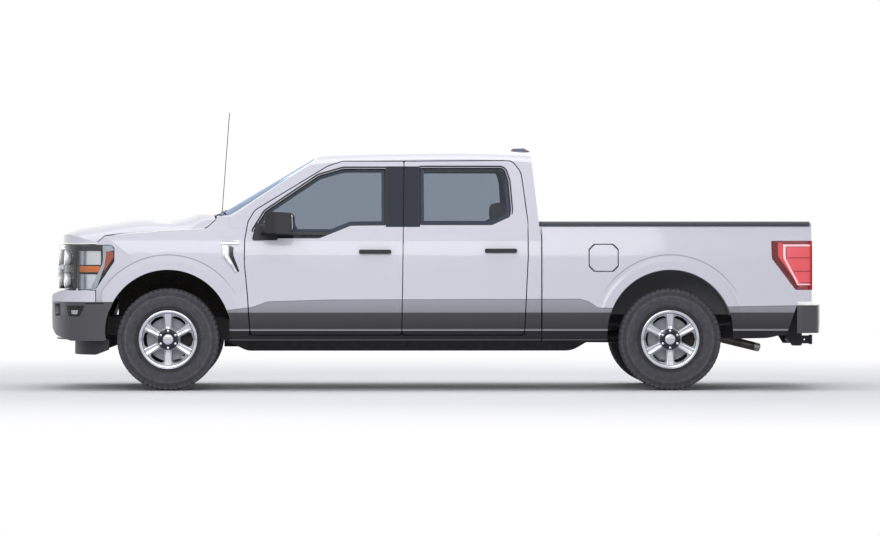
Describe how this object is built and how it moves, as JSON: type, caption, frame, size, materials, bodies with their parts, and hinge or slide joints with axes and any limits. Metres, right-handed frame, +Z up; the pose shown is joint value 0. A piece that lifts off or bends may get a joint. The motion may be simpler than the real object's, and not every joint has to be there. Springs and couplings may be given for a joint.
{
  "type": "pickup truck",
  "caption": "Full-size crew-cab pickup truck with a long open cargo bed, hinged doors, hood and tailgate, and four steel-rimmed wheels that roll and steer",
  "frame": {"origin": "on the ground, midway along the truck's length and midway between its sides", "axes": "+X to the truck's left side, nose toward -Y, +Z up"},
  "size_m": [2.43, 6.185, 2.2451],
  "materials": {
    "body_paint": "gloss",
    "grey_paint": "satin",
    "glass": "clear",
    "black_plastic": "moulded",
    "chrome": "polished",
    "lamp_lens": "clear",
    "red_lens": "clear red",
    "dark_aluminium": "cast",
    "cast_iron": "as cast",
    "frame_paint": "satin black",
    "spring_steel": "dull",
    "exhaust_steel": "weathered",
    "wheel_chrome": "polished",
    "tyre": "moulded",
    "interior_plastic": "grained",
    "seat_fabric": "woven",
    "bed_liner": "gloss"
  },
  "bodies": {
    "chassis": {"cab_shell": "body_paint", "front_fenders": "body_paint", "bed_sides": "body_paint", "bed_floor": "bed_liner", "cab_glass": "glass", "cowl": "black_plastic", "rail_caps": "black_plastic", "air_dam": "black_plastic", "wheelhouse_liners": "black_plastic", "grille": "chrome", "headlamps": "lamp_lens", "taillamps": "red_lens", "roof_lamp": "red_lens", "front_bumper": "grey_paint", "rear_bumper": "grey_paint", "radiator": "dark_aluminium", "engine": "cast_iron", "frame": "frame_paint", "front_suspension": "frame_paint", "rear_axle": "frame_paint", "leaf_springs": "spring_steel", "propshaft": "spring_steel", "exhaust": "exhaust_steel", "fuel_tank": "black_plastic", "hitch_receiver": "frame_paint", "spare_wheel": "tyre", "dashboard": "interior_plastic", "front_seats": "seat_fabric", "rear_bench": "seat_fabric", "antenna": "frame_paint"},
    "hood_body": {"hood": "body_paint"},
    "tailgate_body": {"tailgate": "body_paint"},
    "fuel_door_body": {"fuel_door": "body_paint"},
    "front_door_left_body": {"front_door_left": "body_paint", "front_door_glass_left": "glass", "front_door_trim_left": "black_plastic"},
    "front_door_right_body": {"front_door_right": "body_paint", "front_door_glass_right": "glass", "front_door_trim_right": "black_plastic"},
    "rear_door_left_body": {"rear_door_left": "body_paint", "rear_door_glass_left": "glass", "rear_door_trim_left": "black_plastic"},
    "rear_door_right_body": {"rear_door_right": "body_paint", "rear_door_glass_right": "glass", "rear_door_trim_right": "black_plastic"},
    "steering_knuckle_left": {"knuckle_left": "cast_iron"},
    "steering_knuckle_right": {"knuckle_right": "cast_iron"},
    "wheel_front_left": {"front_wheel_left": "wheel_chrome", "front_tyre_left": "tyre"},
    "wheel_front_right": {"front_wheel_right": "wheel_chrome", "front_tyre_right": "tyre"},
    "wheel_rear_left": {"rear_wheel_left": "wheel_chrome", "rear_tyre_left": "tyre"},
    "wheel_rear_right": {"rear_wheel_right": "wheel_chrome", "rear_tyre_right": "tyre"},
    "steering_wheel_body": {"steering_wheel": "interior_plastic"}
  },
  "joints": [
    {"name": "front_door_left", "type": "hinge", "parent": "chassis", "child": "front_door_left_body", "pos_m": [0.985, -1.4575, 0.825], "axis": [0, 0, -1], "range_deg": [0, 68]},
    {"name": "rear_door_left", "type": "hinge", "parent": "chassis", "child": "rear_door_left_body", "pos_m": [0.985, -0.2005, 0.825], "axis": [0, 0, -1], "range_deg": [0, 68]},
    {"name": "front_door_right", "type": "hinge", "parent": "chassis", "child": "front_door_right_body", "pos_m": [-0.985, -1.4575, 0.825], "axis": [0, 0, 1], "range_deg": [0, 68]},
    {"name": "rear_door_right", "type": "hinge", "parent": "chassis", "child": "rear_door_right_body", "pos_m": [-0.985, -0.2005, 0.825], "axis": [0, 0, 1], "range_deg": [0, 68]},
    {"name": "hood_lift", "type": "hinge", "parent": "chassis", "child": "hood_body", "pos_m": [0, -1.7375, 1.364], "axis": [-1, 0, 0], "range_deg": [0, 55]},
    {"name": "tailgate_drop", "type": "hinge", "parent": "chassis", "child": "tailgate_body", "pos_m": [0, 2.9265, 0.79], "axis": [-1, 0, 0], "range_deg": [0, 90]},
    {"name": "fuel_lid", "type": "hinge", "parent": "chassis", "child": "fuel_door_body", "pos_m": [0.98, 1.3035, 1.056], "axis": [0, 0, -1], "range_deg": [0, 90]},
    {"name": "steer_left", "type": "hinge", "parent": "chassis", "child": "steering_knuckle_left", "pos_m": [0.7945, -2.1275, 0.407], "axis": [0, 0, 1], "range_deg": [-33, 33]},
    {"name": "front_roll_left", "type": "hinge", "parent": "steering_knuckle_left", "child": "wheel_front_left", "pos_m": [0.8645, -2.1275, 0.407], "axis": [1, 0, 0], "continuous": true},
    {"name": "rear_roll_left", "type": "hinge", "parent": "chassis", "child": "wheel_rear_left", "pos_m": [0.8645, 1.8655, 0.407], "axis": [1, 0, 0], "continuous": true},
    {"name": "steer_right", "type": "hinge", "parent": "chassis", "child": "steering_knuckle_right", "pos_m": [-0.7945, -2.1275, 0.407], "axis": [0, 0, 1], "range_deg": [-33, 33]},
    {"name": "front_roll_right", "type": "hinge", "parent": "steering_knuckle_right", "child": "wheel_front_right", "pos_m": [-0.8645, -2.1275, 0.407], "axis": [1, 0, 0], "continuous": true},
    {"name": "rear_roll_right", "type": "hinge", "parent": "chassis", "child": "wheel_rear_right", "pos_m": [-0.8645, 1.8655, 0.407], "axis": [1, 0, 0], "continuous": true},
    {"name": "steering_wheel_turn", "type": "hinge", "parent": "chassis", "child": "steering_wheel_body", "pos_m": [0.4, -1.0605, 1.15], "axis": [0, 0.9135, 0.4067], "range_deg": [-495, 495]}
  ],
  "couplings": [
    {"joint": "steer_right", "follows": "steer_left", "ratio": 1},
    {"joint": "steering_wheel_turn", "follows": "steer_left", "ratio": 15}
  ]
}
